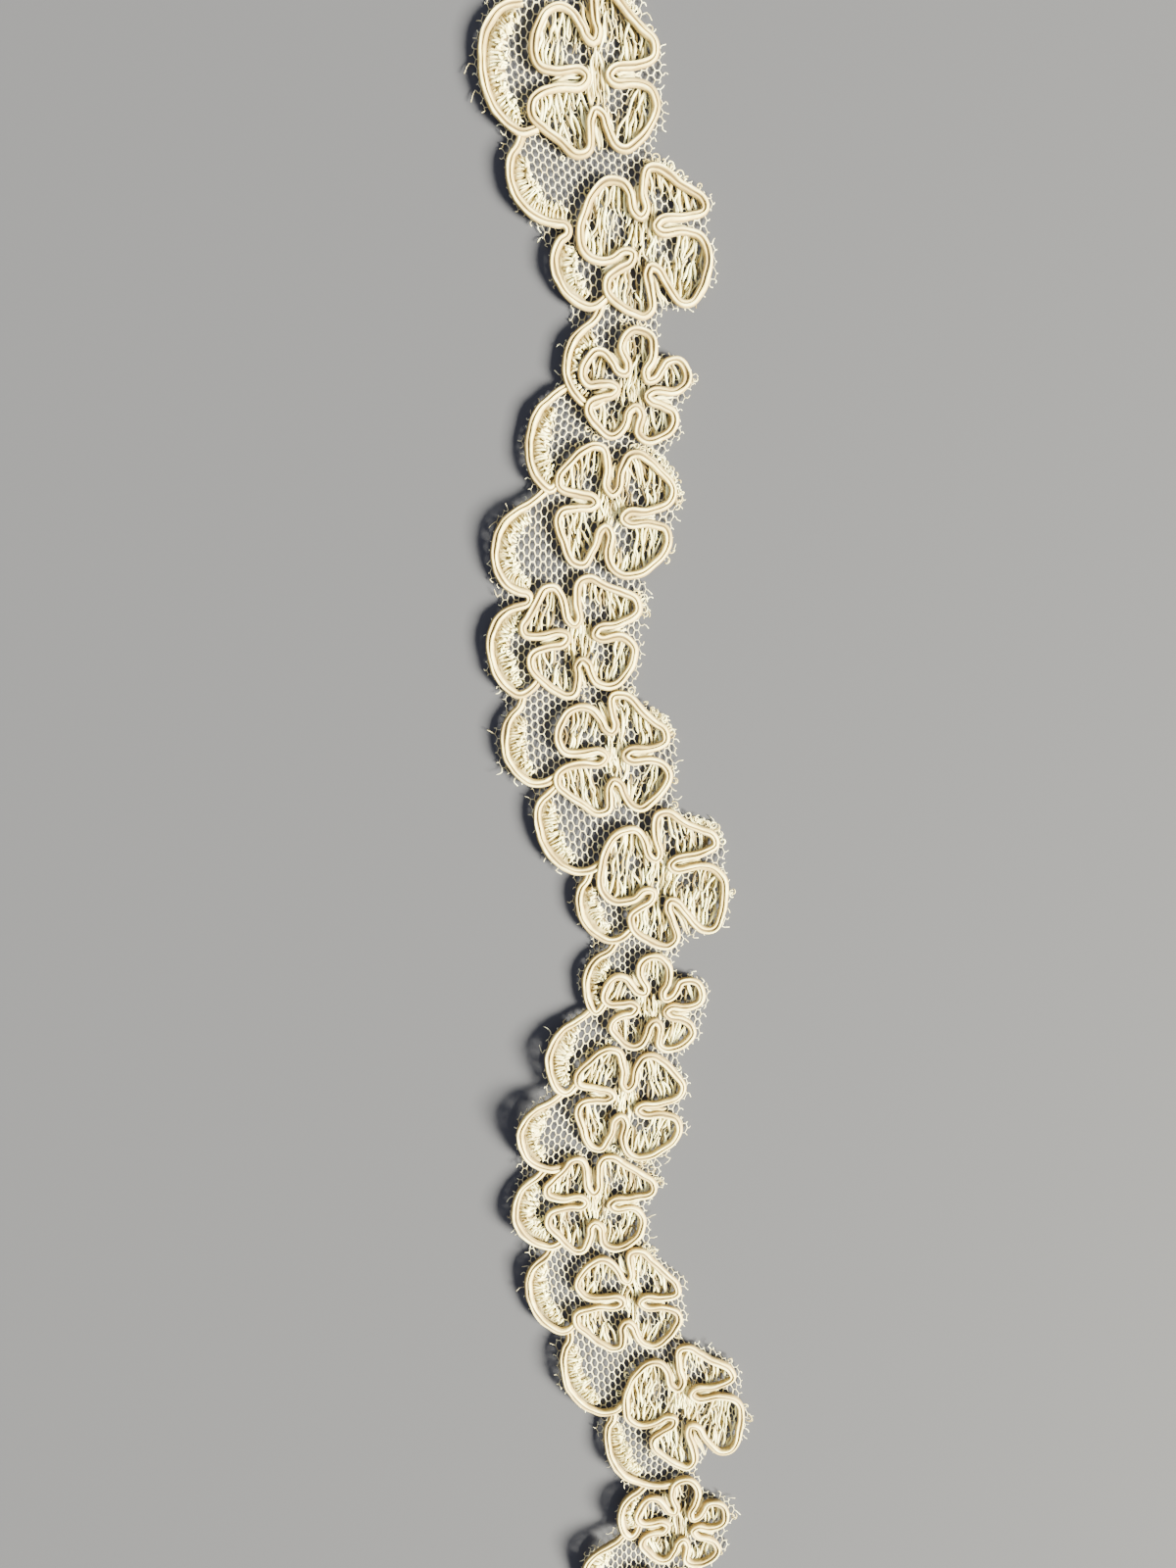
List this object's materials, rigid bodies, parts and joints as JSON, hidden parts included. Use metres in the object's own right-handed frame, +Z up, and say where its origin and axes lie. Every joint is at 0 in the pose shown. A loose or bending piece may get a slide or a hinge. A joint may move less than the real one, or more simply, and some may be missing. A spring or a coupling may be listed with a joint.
{
  "type": "corded lace edging",
  "caption": "Narrow strip of cotton net lace with a scalloped edge and a row of corded flowers, cut from a longer trim and laid flat.",
  "frame": {"origin": "on the table, under the middle of the strip's bounding box", "axes": "+Y along the strip, +X from its scalloped edge to its flower edge, +Z up from the table"},
  "size_m": [0.035, 0.2182, 0.0039],
  "materials": {
    "net": "matt cotton net with soft filling threads",
    "cord": "plied cotton cord, matt with a slight sheen"
  },
  "bodies": {
    "root": {"lace_ground": "net", "flower_cord_01": "cord", "flower_cord_02": "cord", "flower_cord_03": "cord", "flower_cord_04": "cord", "flower_cord_05": "cord", "flower_cord_06": "cord", "flower_cord_07": "cord", "flower_cord_08": "cord", "flower_cord_09": "cord", "flower_cord_10": "cord", "flower_cord_11": "cord", "flower_cord_12": "cord", "flower_cord_13": "cord", "flower_cord_14": "cord", "scallop_cord_01": "cord", "scallop_cord_02": "cord", "scallop_cord_03": "cord", "scallop_cord_04": "cord", "scallop_cord_05": "cord", "scallop_cord_06": "cord", "scallop_cord_07": "cord", "scallop_cord_08": "cord", "scallop_cord_09": "cord", "scallop_cord_10": "cord", "scallop_cord_11": "cord", "scallop_cord_12": "cord", "scallop_cord_13": "cord", "scallop_cord_14": "cord", "scallop_cord_15": "cord", "scallop_cord_16": "cord", "scallop_cord_17": "cord", "scallop_cord_18": "cord", "scallop_cord_19": "cord", "scallop_cord_20": "cord"}
  },
  "joints": []
}
